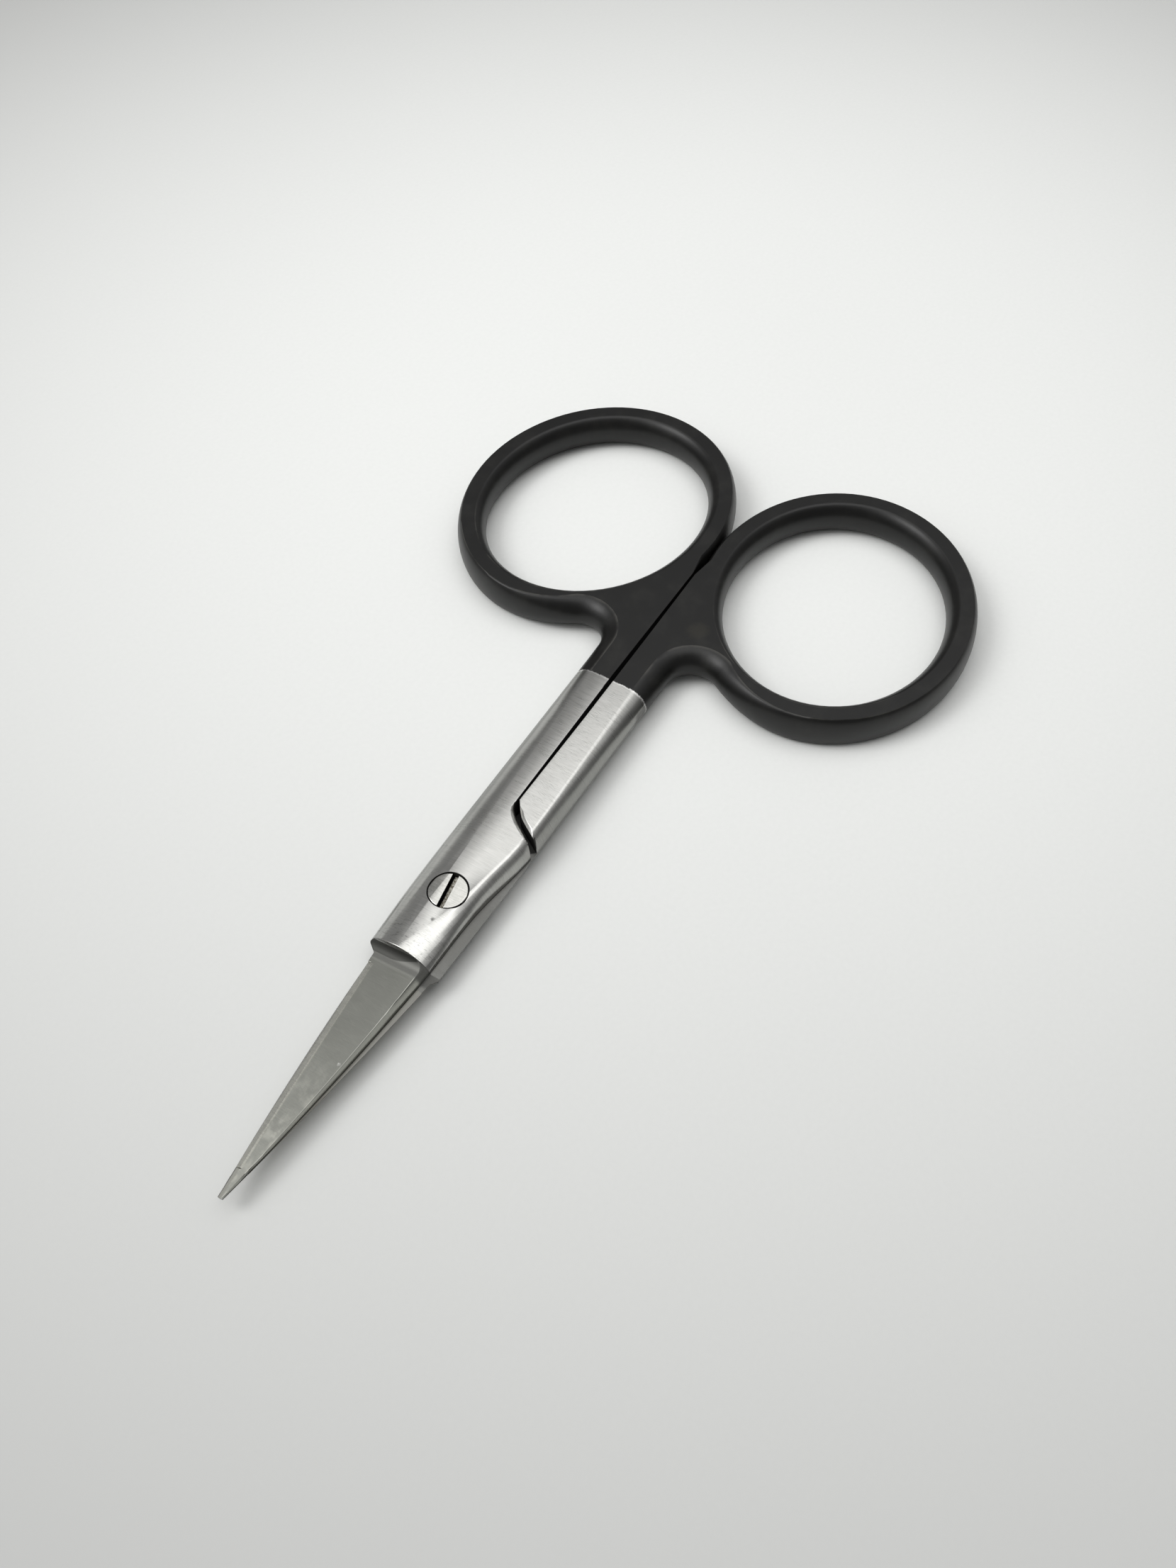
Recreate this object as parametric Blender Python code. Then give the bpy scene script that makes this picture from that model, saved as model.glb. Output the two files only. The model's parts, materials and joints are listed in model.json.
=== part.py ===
"""Small fine-point scissors: two forged halves, a slotted pivot screw and brazed carbide edges.

Metres, +Z up. The scissors lie closed on the plane z = 0 with the tip at -X and the finger loops at
+X. Each half is modelled in its own frame, whose origin is on the pivot axis at the lap plane, with
the half's loop on its +Y side. The lower half is the same forging turned over about the X axis.
"""

import math

import bmesh
import bpy
from mathutils import Matrix, Vector

MM = 0.001

# Overall sizes of one half, measured from the pivot axis
BLADE_REACH = 32.2 * MM
LOOP_CENTRE_X = 50.7 * MM
THICKNESS = 4.0 * MM

# Finger loop
LOOP_HOLE_LENGTH = 27.9 * MM
LOOP_HOLE_WIDTH = 23.2 * MM
LOOP_RING_WIDTH = 3.15 * MM
LOOP_TILT = math.radians(-7.0)
LOOP_ROUND = 0.57 * MM
LOOP_HOLE_ROUND = 1.15 * MM
LOOP_LAND_DEPTH = 0.2 * MM
LOOP_LAND_RUN = 10.3 * MM

# Shank, neck and joint: half widths from the centre line, and how far each side rounds over. The
# shoulder's is for the face that its chamfer is on.
NECK_HALF_WIDTH = 4.25 * MM
NECK_FILLET_RADIUS = 2.7 * MM
SHANK_HALF_WIDTH = 4.08 * MM
SHANK_ROUND = 1.8 * MM
JOINT_HALF_WIDTH = 3.95 * MM
JOINT_ROUND = 3.0 * MM
SHOULDER_ROUND = 1.2 * MM
LAP_BACK_WIDTH = 3.85 * MM
LAP_BACK_ROUND = 1.2 * MM
STEP_BACK_ROUND = 3.0 * MM
PIVOT_BACK_WIDTH = 2.9 * MM
COAT_LINE_X = 28.9 * MM
SIDE_TURN = math.radians(76.0)
NECK_FADE_SHARE = 1 / 7

# Lap joint: where the S-shaped nose starts on the slit, how far it runs, the pulls that bend it, the
# open gap to the other half's shoulder, and the chamfers on both
NOSE_X = 11.6 * MM
NOSE_RUN = 4.5 * MM
NOSE_HOOK = (2.0 * MM, 0.4 * MM)
NOSE_WAIST = (2.6 * MM, -1.8 * MM)
NOSE_CHAMFER = 0.36 * MM
NOSE_FADE_SHARE = 0.3
SHOULDER_GAP = 0.5 * MM
SHOULDER_CHAMFER = 0.3 * MM
SHOULDER_CORNER = 0.25 * MM
LAP_CLEARANCE = 0.06 * MM

# Slit between the two shanks, as the distance of each half from the centre plane
SLIT_END = 0.1 * MM
SLIT_BOW = 0.12 * MM

# Blade
STEP_X = 7.05 * MM
STEP_RADIUS = 0.9 * MM
SPINE_ROOT_WIDTH = 2.75 * MM
SPINE_BELLY = 0.26 * MM
EDGE_ROUND = 1.0 * MM
TIP_WIDTH = 0.5 * MM
TIP_ROUND = 0.05 * MM
BLADE_ROOT_HEIGHT = 0.68 * MM
BLADE_TIP_HEIGHT = 0.33 * MM
BEVEL_SLOPE = 0.148
UPPER_STEP_HALF_WIDTH = 3.62 * MM
UPPER_EDGE_ROOT = 2.68 * MM
UPPER_EDGE_BELLY = 0.08 * MM
LOWER_STEP_HALF_WIDTH = 3.8 * MM
LOWER_EDGE_ROOT = 3.35 * MM
LOWER_EDGE_BELLY = 0.16 * MM

# Carbide strip along the cutting edge
INSERT_WIDTH = 0.6 * MM
INSERT_BEVEL = 0.42 * MM
INSERT_LAND = 0.05 * MM
INSERT_ROOT_X = 9.0 * MM
INSERT_TIP_MARGIN = 2.7 * MM
BRAZE_GAP = 0.03 * MM

# Pivot screw
SCREW_HEAD_RADIUS = 1.86 * MM
SCREW_HEAD_HEIGHT = 0.95 * MM
SCREW_HEAD_CHAMFER = 0.07 * MM
SCREW_NECK_RADIUS = 1.2 * MM
SCREW_THREAD_RADIUS = 1.0 * MM
SCREW_RECESS = 0.08 * MM
SCREW_CLEARANCE = 0.07 * MM
SLOT_WIDTH = 0.62 * MM
SLOT_DEPTH = 0.55 * MM
SLOT_ANGLE = math.radians(10.0)

# Facets
ROUND_SEGMENTS = 64
LOOP_SEGMENTS = 80
FILLET_SEGMENTS = 10
EDGE_SEGMENTS = 14
SIDE_SEGMENTS = 5
LEVEL_STEPS = 6
SMOOTH_ANGLE = math.radians(30)
CORNER_ANGLE = math.radians(40)

# Stock that is cut away, the share of the step's radius where the blade's stock starts, how far cutters
# reach, and how the neck's fillet is found
BLANK_STOCK = 0.8 * MM
STEP_STATION_SHARE = 0.25
OUTSIDE = 20.0 * MM
TOLERANCE = 1e-7
FILLET_SEARCH = (math.radians(170), math.radians(268))
FILLET_SEARCH_STEPS = 50

# Worked out from the sizes above
HALF_THICKNESS = THICKNESS / 2
LAP_FACE = LAP_CLEARANCE / 2
LOOP_LONG = LOOP_HOLE_LENGTH / 2 + LOOP_RING_WIDTH
LOOP_SHORT = LOOP_HOLE_WIDTH / 2 + LOOP_RING_WIDTH
LOOP_REACH_Y = math.hypot(LOOP_LONG * math.sin(LOOP_TILT), LOOP_SHORT * math.cos(LOOP_TILT))
LOOP_REACH_X = math.hypot(LOOP_LONG * math.cos(LOOP_TILT), LOOP_SHORT * math.sin(LOOP_TILT))
LOOP_CENTRE = Vector((LOOP_CENTRE_X, SLIT_END + LOOP_REACH_Y - LOOP_LAND_DEPTH))
HANDLE_REACH = LOOP_CENTRE_X + LOOP_REACH_X
PIVOT = Vector(((BLADE_REACH - HANDLE_REACH) / 2, 0.0, HALF_THICKNESS))
STEP_FOOT_X = STEP_X + STEP_RADIUS
STEP_STATION_X = STEP_X + STEP_RADIUS * STEP_STATION_SHARE
SHOULDER_X = NOSE_X + SHOULDER_CORNER
NOSE_END_X = NOSE_X - NOSE_RUN
SHOULDER_WALL = NOSE_CHAMFER + SHOULDER_GAP
INSERT_TIP_X = BLADE_REACH - INSERT_TIP_MARGIN
BEVEL_TAPER = (BLADE_ROOT_HEIGHT - BLADE_TIP_HEIGHT) / (BLADE_REACH - STEP_FOOT_X)


def clear_scene():
    """Remove every object of the open scene."""
    for obj in list(bpy.data.objects):
        bpy.data.objects.remove(obj, do_unlink=True)


def make_material(name, colour, roughness, metallic):
    """A Principled material with one colour."""
    material = bpy.data.materials.new(name)
    material.use_nodes = True
    shader = material.node_tree.nodes["Principled BSDF"]
    shader.inputs["Base Color"].default_value = (*colour, 1.0)
    shader.inputs["Roughness"].default_value = roughness
    shader.inputs["Metallic"].default_value = metallic
    return material


def add_object(name, bm, materials=()):
    """Turn a bmesh into a named object, smooth except across its creases."""
    bmesh.ops.recalc_face_normals(bm, faces=bm.faces)
    mesh = bpy.data.meshes.new(name)
    bm.to_mesh(mesh)
    bm.free()
    mesh.shade_smooth()
    mesh.set_sharp_from_angle(angle=SMOOTH_ANGLE)
    for material in materials:
        mesh.materials.append(material)
    obj = bpy.data.objects.new(name, mesh)
    bpy.context.scene.collection.objects.link(obj)
    return obj


def cut(obj, cutter):
    """Subtract a cutter that moves with the object it cuts."""
    cutter.hide_render = True
    cutter.display_type = "WIRE"
    cutter.parent = obj
    modifier = obj.modifiers.new(cutter.name, "BOOLEAN")
    modifier.operation = "DIFFERENCE"
    modifier.solver = "EXACT"
    modifier.object = cutter


def stack(name, layers, materials=()):
    """A closed solid through layers of (height, plan outline), all with as many points."""
    bm = bmesh.new()
    rings = [[bm.verts.new((x, y, height)) for x, y in outline] for height, outline in layers]
    for lower, upper in zip(rings, rings[1:]):
        join_rings(bm, lower, upper)
    bm.faces.new(rings[0])
    bm.faces.new(rings[-1])
    bmesh.ops.triangulate(bm, faces=bm.faces)
    return add_object(name, bm, materials)


def prism(name, outline, bottom, top):
    """A straight prism over a plan outline."""
    return stack(name, ((bottom, outline), (top, outline)))


def turned(name, profile, materials=()):
    """A solid of revolution about Z from (radius, height) points, closed by a disc at each end."""
    angles = [2 * math.pi * k / ROUND_SEGMENTS for k in range(ROUND_SEGMENTS)]
    circle = [Vector((math.cos(angle), math.sin(angle))) for angle in angles]
    layers = [(height, [radius * point for point in circle]) for radius, height in profile]
    return stack(name, layers, materials)


def join_rings(bm, lower, upper):
    """Quads between two closed rings of as many vertices."""
    count = len(lower)
    for k in range(count):
        following = (k + 1) % count
        bm.faces.new((lower[k], lower[following], upper[following], upper[k]))


def bezier(points, count):
    """Points on a Bezier curve of any degree, both ends included."""
    found = []
    for k in range(count + 1):
        layer = [Vector(point) for point in points]
        while len(layer) > 1:
            layer = [a.lerp(b, k / count) for a, b in zip(layer, layer[1:])]
        found.append(layer[0])
    return found


def through(points, count):
    """A smooth curve through the points, with count steps between neighbours."""
    points = [Vector(point) for point in points]
    ends = [2 * points[0] - points[1], *points, 2 * points[-1] - points[-2]]
    found = [points[0]]
    for before, start, end, after in zip(ends, ends[1:], ends[2:], ends[3:]):
        span = (start, start + (end - before) / 6, end - (after - start) / 6, end)
        found += bezier(span, count)[1:]
    return found


def loop_ellipse(angle, grow):
    """A point on the loop's ellipse, grown from the hole, and its outward normal there."""
    long = LOOP_HOLE_LENGTH / 2 + grow
    short = LOOP_HOLE_WIDTH / 2 + grow
    point = Vector((long * math.cos(angle), short * math.sin(angle)))
    normal = Vector((short * math.cos(angle), long * math.sin(angle))).normalized()
    tilt = Matrix.Rotation(LOOP_TILT, 2)
    return LOOP_CENTRE + tilt @ point, tilt @ normal


def neck_fillet():
    """Centre of the neck's fillet and the loop angle where it touches the ring."""
    low, high = FILLET_SEARCH
    for _ in range(FILLET_SEARCH_STEPS):
        angle = (low + high) / 2
        point, normal = loop_ellipse(angle, LOOP_RING_WIDTH)
        centre = point + normal * NECK_FILLET_RADIUS
        if centre.y > NECK_HALF_WIDTH + NECK_FILLET_RADIUS:
            low = angle
        else:
            high = angle
    return centre, angle


def slit(x):
    """Distance of the slit face from the centre plane: nearly closed at both ends, bowed between."""
    share = (x - NOSE_X) / (LOOP_CENTRE_X - NOSE_X)
    return SLIT_END + SLIT_BOW * math.sin(math.pi * min(max(share, 0.0), 1.0))


def nose_curve():
    """The S-shaped end of the lap, from the slit to beyond the far side: points and outward normals."""
    start = Vector((NOSE_X, SLIT_END))
    hook = start + Vector((-NOSE_HOOK[0], NOSE_HOOK[1]))
    waist = start + Vector((-NOSE_WAIST[0], NOSE_WAIST[1]))
    end = Vector((NOSE_END_X, -LAP_BACK_WIDTH - BLANK_STOCK))
    points = bezier((start, hook, waist, end), EDGE_SEGMENTS)
    found = []
    for k, point in enumerate(points):
        along = points[min(k + 1, EDGE_SEGMENTS)] - points[max(k - 1, 0)]
        found.append((point, Vector((-along.y, along.x)).normalized()))
    return found


def edge_curve(root, belly):
    """The cutting edge from the blade's root to its tip, in plan."""
    start = Vector((-STEP_FOOT_X, root))
    end = Vector((-BLADE_REACH, TIP_WIDTH / 2))
    middle = (start + end) / 2 + Vector((0, 2 * belly))
    return bezier((start, middle, end), EDGE_SEGMENTS)


def bevel_height(x, y):
    """Height of the blade's ground face above the lap plane."""
    return BLADE_ROOT_HEIGHT + (x + STEP_FOOT_X) * BEVEL_TAPER - BEVEL_SLOPE * y


def blend(start, end, share):
    """A value between two others, held at the ends."""
    return start + (end - start) * min(max(share, 0.0), 1.0)


def edge_rows(edge):
    """Outline from the tip along the cutting edge to the blade's root."""
    rows = []
    for point in reversed(edge):
        share = (point.x + BLADE_REACH) / (BLADE_REACH - STEP_X)
        width = blend(TIP_ROUND, EDGE_ROUND, share)
        rows.append((point, width, width))
    return rows


def side_rows(step_half_width):
    """Outline along the outer side, round the neck's fillet and round the loop to its lowest point."""
    centre, touch = neck_fillet()
    side = through(
        (
            (-STEP_STATION_X, step_half_width),
            (0.0, JOINT_HALF_WIDTH),
            (SHOULDER_X, SHANK_HALF_WIDTH),
            (COAT_LINE_X, (SHANK_HALF_WIDTH + NECK_HALF_WIDTH) / 2),
            (centre.x, NECK_HALF_WIDTH),
        ),
        SIDE_SEGMENTS,
    )
    rows = []
    for point in side[:-1]:
        share = (point.x - SHOULDER_X) / (COAT_LINE_X - SHOULDER_X)
        bottom = blend(SHOULDER_ROUND, SHANK_ROUND, share)
        top = blend(JOINT_ROUND, SHANK_ROUND, point.x / COAT_LINE_X)
        rows.append((point, bottom, top))
    contact = loop_ellipse(touch, LOOP_RING_WIDTH)[0] - centre
    lowest = -math.pi / 2
    last = math.atan2(contact.y, contact.x)
    for k in range(FILLET_SEGMENTS):
        angle = blend(lowest, last, k / FILLET_SEGMENTS)
        arm = Vector((math.cos(angle), math.sin(angle))) * NECK_FILLET_RADIUS
        rows.append((centre + arm, SHANK_ROUND, SHANK_ROUND))
    for k in range(LOOP_SEGMENTS + 1):
        share = k / LOOP_SEGMENTS
        fade = max(0.0, 1.0 - share / NECK_FADE_SHARE)
        point = loop_ellipse(touch + (lowest - touch) * share, LOOP_RING_WIDTH)[0]
        width = blend(LOOP_ROUND, SHANK_ROUND, fade * fade)
        rows.append((point, width, width))
    return rows


def back_rows():
    """Outline back along the slit's stock, the far side of the lap and the spine to the tip."""
    rows = [(Vector((LOOP_CENTRE_X - LOOP_LAND_RUN, -BLANK_STOCK)), 0.0, 0.0)]
    back = through(
        (
            (SHOULDER_X + BLANK_STOCK, -LAP_BACK_WIDTH),
            (NOSE_END_X, -LAP_BACK_WIDTH),
            (0.0, -PIVOT_BACK_WIDTH),
            (-STEP_STATION_X, -SPINE_ROOT_WIDTH),
        ),
        SIDE_SEGMENTS,
    )
    root = back[-1]
    tip = Vector((-BLADE_REACH, -TIP_WIDTH / 2))
    belly = (root + tip) / 2 + Vector((0, -2 * SPINE_BELLY))
    spine = bezier((root, belly, tip), EDGE_SEGMENTS)
    for point in back[:-1]:
        width = blend(LAP_BACK_ROUND, STEP_BACK_ROUND, -point.x / STEP_STATION_X)
        rows.append((point, width, width))
    for k, point in enumerate(spine):
        width = blend(STEP_BACK_ROUND, TIP_ROUND, k / EDGE_SEGMENTS)
        rows.append((point, width, width))
    return rows


def half_outline(edge, step_half_width):
    """Plan outline at mid height, clockwise from the tip: (point, round-over below, round-over above)."""
    return edge_rows(edge) + side_rows(step_half_width) + back_rows()


def inward_normals(points):
    """Unit normals into a clockwise outline: from both sides of a point, or at a corner from the next."""
    count = len(points)
    found = []
    for k in range(count):
        ahead = (points[(k + 1) % count] - points[k]).normalized()
        behind = (points[k] - points[k - 1]).normalized()
        along = ahead if ahead.angle(behind) > CORNER_ANGLE else (ahead + behind).normalized()
        found.append(Vector((along.y, -along.x)))
    return found


def side_level(step):
    """Height of one level of a rounded side, and the share of the round-over that it stands in by."""
    turn = SIDE_TURN * step / LEVEL_STEPS
    height = HALF_THICKNESS * math.sin(turn) / math.sin(SIDE_TURN)
    return height, (1 - math.cos(turn)) / (1 - math.cos(SIDE_TURN))


def loft_levels(bm, rows, normals):
    """Rings of one outline from the bottom face to the top face, rounded over at its sides."""
    rings = []
    for step in range(-LEVEL_STEPS, LEVEL_STEPS + 1):
        height, inset = side_level(step)
        ring = []
        for (point, bottom, top), normal in zip(rows, normals):
            x, y = point + normal * (inset * (bottom if step < 0 else top))
            ring.append(bm.verts.new((x, y, height)))
        rings.append(ring)
    for lower, upper in zip(rings, rings[1:]):
        join_rings(bm, lower, upper)
    return rings


def forged_blank(name, edge, step_half_width, materials):
    """The whole forging before it is cut: blade stock, shank and rounded finger loop."""
    bm = bmesh.new()
    rows = half_outline(edge, step_half_width)
    outer = loft_levels(bm, rows, inward_normals([point for point, _, _ in rows]))
    hole = [loop_ellipse(2 * math.pi * k / LOOP_SEGMENTS, 0.0) for k in range(LOOP_SEGMENTS)]
    bore = [(point, LOOP_HOLE_ROUND, LOOP_HOLE_ROUND) for point, _ in hole]
    inner = loft_levels(bm, bore, [outward for _, outward in hole])
    for end in (0, -1):
        edges = []
        for ring in (outer[end], inner[end]):
            edges += [bm.edges.get((ring[k - 1], ring[k])) for k in range(len(ring))]
        bmesh.ops.triangle_fill(bm, use_beauty=True, use_dissolve=False, edges=edges)
    everything = [*bm.verts, *bm.edges, *bm.faces]
    line = (COAT_LINE_X, 0, 0)
    bmesh.ops.bisect_plane(bm, geom=everything, dist=TOLERANCE, plane_co=line, plane_no=(1, 0, 0))
    for face in bm.faces:
        face.material_index = int(face.calc_center_median().x > COAT_LINE_X)
    return add_object(name, bm, materials)


def slit_cutter(name):
    """Takes off everything beyond the S-shaped nose with its chamfer, the slit face and the loop's land."""
    far = LOOP_CENTRE_X + LOOP_LONG + OUTSIDE
    steps = 2 * EDGE_SEGMENTS
    face = []
    for k in range(steps):
        x = blend(LOOP_CENTRE_X, NOSE_X, k / steps)
        face.append((x, slit(x)))
    layers = []
    for height, grow in (
        (-THICKNESS, NOSE_CHAMFER),
        (HALF_THICKNESS - NOSE_CHAMFER, NOSE_CHAMFER),
        (HALF_THICKNESS + NOSE_CHAMFER, -NOSE_CHAMFER),
    ):
        nose = []
        for k, (point, outward) in enumerate(nose_curve()):
            fade = min(k, EDGE_SEGMENTS - k) / EDGE_SEGMENTS / NOSE_FADE_SHARE
            nose.append(point + outward * blend(0.0, grow, fade))
        outline = [(far, -OUTSIDE), (far, SLIT_END), *face, *nose, (nose[-1].x, -OUTSIDE)]
        layers.append((height, outline))
    return stack(name, layers)


def lap_cutter(name):
    """Takes the lower level off the blade and joint, up to the shoulder that faces the other half."""
    left = -BLADE_REACH - OUTSIDE
    corner = round(EDGE_SEGMENTS * NOSE_FADE_SHARE)
    layers = []
    for height, grow in (
        (-HALF_THICKNESS - SHOULDER_CHAMFER, SHOULDER_WALL + 2 * SHOULDER_CHAMFER),
        (SHOULDER_CHAMFER - HALF_THICKNESS, SHOULDER_WALL),
        (LAP_FACE, SHOULDER_WALL),
    ):
        edge = [(SHOULDER_X, -OUTSIDE), (SHOULDER_X, 0.0)]
        for point, outward in nose_curve()[corner:]:
            x, y = point + outward * grow
            edge.append((x, -y))
        outline = [*edge, (edge[-1][0], OUTSIDE), (left, OUTSIDE), (left, -OUTSIDE)]
        layers.append((height, outline))
    return stack(name, layers)


def bevel_cutter(name):
    """Grinds the blade's sloping face, and the step at its root with the grinding wheel's radius."""
    left = -BLADE_REACH - OUTSIDE
    profile = [(left, bevel_height(left, 0.0)), (-STEP_FOOT_X, BLADE_ROOT_HEIGHT)]
    for k in range(1, FILLET_SEGMENTS + 1):
        angle = math.pi / 2 * k / FILLET_SEGMENTS
        rise = STEP_RADIUS * (1 - math.cos(angle))
        profile.append((-STEP_FOOT_X + STEP_RADIUS * math.sin(angle), BLADE_ROOT_HEIGHT + rise))
    profile += [(-STEP_X, 2 * THICKNESS), (left, 2 * THICKNESS)]
    bm = bmesh.new()
    rings = []
    for y in (-OUTSIDE, OUTSIDE):
        rings.append([bm.verts.new((x, y, z - BEVEL_SLOPE * y)) for x, z in profile])
    join_rings(bm, *rings)
    bm.faces.new(rings[0])
    bm.faces.new(rings[1])
    return add_object(name, bm)


def insert_stations(edge, grow):
    """Points along the cutting edge between the strip's two ends, and the inward direction at each."""
    ends = (-INSERT_ROOT_X + grow, -INSERT_TIP_X - grow)
    found = []
    for k in range(EDGE_SEGMENTS + 1):
        x = ends[0] + (ends[1] - ends[0]) * k / EDGE_SEGMENTS
        share = (x - edge[0].x) / (edge[-1].x - edge[0].x) * EDGE_SEGMENTS
        first = min(int(share), EDGE_SEGMENTS - 1)
        along = edge[first + 1] - edge[first]
        point = edge[first] + along * (share - first)
        found.append((point, Vector((-along.y, along.x)).normalized()))
    return found


def insert_seat_cutter(name, edge):
    """The rebate along the cutting edge that the carbide strip is brazed into."""
    stations = insert_stations(edge, BRAZE_GAP)
    inside = [tuple(point + inward * (INSERT_WIDTH + BRAZE_GAP)) for point, inward in stations]
    outside = [tuple(point - inward * INSERT_WIDTH) for point, inward in stations]
    return prism(name, [*inside, *reversed(outside)], -THICKNESS, THICKNESS)


def carbide_insert(name, edge, material):
    """A brazed strip with a ground cutting bevel, flush with the blade's lap and ground faces."""
    bm = bmesh.new()
    rings = []
    for point, inward in insert_stations(edge, 0.0):
        ring = []
        for depth, height in (
            (0.0, LAP_FACE),
            (0.0, LAP_FACE + INSERT_LAND),
            (INSERT_BEVEL, None),
            (INSERT_WIDTH, None),
            (INSERT_WIDTH, LAP_FACE),
        ):
            x, y = point + inward * depth
            ring.append(bm.verts.new((x, y, bevel_height(x, y) if height is None else height)))
        rings.append(ring)
    for lower, upper in zip(rings, rings[1:]):
        join_rings(bm, lower, upper)
    bm.faces.new(rings[0])
    bm.faces.new(rings[-1])
    return add_object(name, bm, (material,))


def screw_seat_cutter(name):
    """The counterbore and clearance hole through the half that turns under the screw's head."""
    head = SCREW_HEAD_RADIUS + SCREW_CLEARANCE
    neck = SCREW_NECK_RADIUS + SCREW_CLEARANCE
    seat = HALF_THICKNESS - SCREW_RECESS - SCREW_HEAD_HEIGHT - SCREW_CLEARANCE
    return turned(name, ((neck, -THICKNESS), (neck, seat), (head, seat), (head, THICKNESS)))


def thread_cutter(name):
    """The hole that the screw's thread turns in, right through the other half."""
    radius = SCREW_THREAD_RADIUS + SCREW_CLEARANCE
    return turned(name, ((radius, -THICKNESS), (radius, THICKNESS)))


def crown_cutter(name):
    """Grinds one end of the screw to the crown of the half around it, a little lower."""
    levels = [side_level(step) for step in range(LEVEL_STEPS + 1)]
    outer = [(JOINT_HALF_WIDTH - inset * JOINT_ROUND, height) for height, inset in levels]
    back = [(inset * LAP_BACK_ROUND - PIVOT_BACK_WIDTH, height) for height, inset in levels]
    crown = [(y, height - SCREW_RECESS) for y, height in (*outer, *reversed(back))]
    profile = [(JOINT_HALF_WIDTH, THICKNESS), *crown, (-PIVOT_BACK_WIDTH, THICKNESS)]
    bm = bmesh.new()
    reach = 2 * SCREW_HEAD_RADIUS
    rings = [[bm.verts.new((x, y, z)) for y, z in profile] for x in (-reach, reach)]
    join_rings(bm, *rings)
    bm.faces.new(rings[0])
    bm.faces.new(rings[1])
    return add_object(name, bm)


def pivot_screw(name, material):
    """A slotted shoulder screw: crowned head, plain neck through one half, threaded end in the other."""
    top = HALF_THICKNESS - SCREW_RECESS
    chamfer = SCREW_HEAD_CHAMFER
    screw = turned(
        name,
        (
            (SCREW_THREAD_RADIUS - chamfer, -top),
            (SCREW_THREAD_RADIUS, chamfer - top),
            (SCREW_THREAD_RADIUS, LAP_FACE),
            (SCREW_NECK_RADIUS, LAP_FACE),
            (SCREW_NECK_RADIUS, top - SCREW_HEAD_HEIGHT),
            (SCREW_HEAD_RADIUS, top - SCREW_HEAD_HEIGHT),
            (SCREW_HEAD_RADIUS, top - chamfer),
            (SCREW_HEAD_RADIUS - chamfer, top),
        ),
        (material,),
    )
    reach = 2 * SCREW_HEAD_RADIUS
    wide = SLOT_WIDTH / 2
    outline = ((-reach, -wide), (reach, -wide), (reach, wide), (-reach, wide))
    slot = prism("screw_slot_cutter", outline, top - SLOT_DEPTH, THICKNESS)
    slot.rotation_euler.z = SLOT_ANGLE
    cut(screw, slot)
    for end, turn in (("head", 0.0), ("foot", math.pi)):
        crown = crown_cutter(f"screw_{end}_crown_cutter")
        crown.rotation_euler.x = turn
        cut(screw, crown)
    return screw


def scissor_half(name, edge, step_half_width, bore, materials):
    """One forging cut to its lap, slit, ground blade, carbide seat and pivot hole."""
    half = forged_blank(name, edge, step_half_width, materials)
    cut(half, slit_cutter(name + "_slit_cutter"))
    cut(half, lap_cutter(name + "_lap_cutter"))
    cut(half, bevel_cutter(name + "_bevel_cutter"))
    cut(half, insert_seat_cutter(name + "_insert_seat_cutter", edge))
    cut(half, bore(name + "_bore_cutter"))
    return half


def main():
    """Build both halves closed on the pivot, with their carbide strips and the screw."""
    clear_scene()
    steel = make_material("brushed_steel", (0.52, 0.52, 0.5), 0.34, 1.0)
    coat = make_material("black_coat", (0.022, 0.022, 0.021), 0.42, 0.0)
    carbide = make_material("carbide", (0.4, 0.4, 0.36), 0.4, 1.0)
    polished = make_material("polished_screw", (0.62, 0.62, 0.6), 0.2, 1.0)

    upper_edge = edge_curve(UPPER_EDGE_ROOT, UPPER_EDGE_BELLY)
    lower_edge = edge_curve(LOWER_EDGE_ROOT, LOWER_EDGE_BELLY)
    finish = (steel, coat)
    upper = scissor_half("upper_half", upper_edge, UPPER_STEP_HALF_WIDTH, screw_seat_cutter, finish)
    lower = scissor_half("lower_half", lower_edge, LOWER_STEP_HALF_WIDTH, thread_cutter, finish)
    carbide_insert("upper_carbide_insert", upper_edge, carbide).parent = upper
    carbide_insert("lower_carbide_insert", lower_edge, carbide).parent = lower
    screw = pivot_screw("pivot_screw", polished)

    for obj in (upper, lower, screw):
        obj.location = PIVOT
    lower.rotation_euler.x = math.pi


main()
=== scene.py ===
"""Looks of a small pair of fine-point scissors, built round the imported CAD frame.

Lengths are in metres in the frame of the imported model: +X runs from the blade tips to the finger loops, +Y points to
the upper half's loop, and the scissors lie closed on z = 0.
"""

import json
import logging
import math
from dataclasses import dataclass
from enum import Enum
from typing import Any, Union

import bmesh
import bpy
from mathutils import Matrix, Vector
from mathutils.bvhtree import BVHTree

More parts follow.
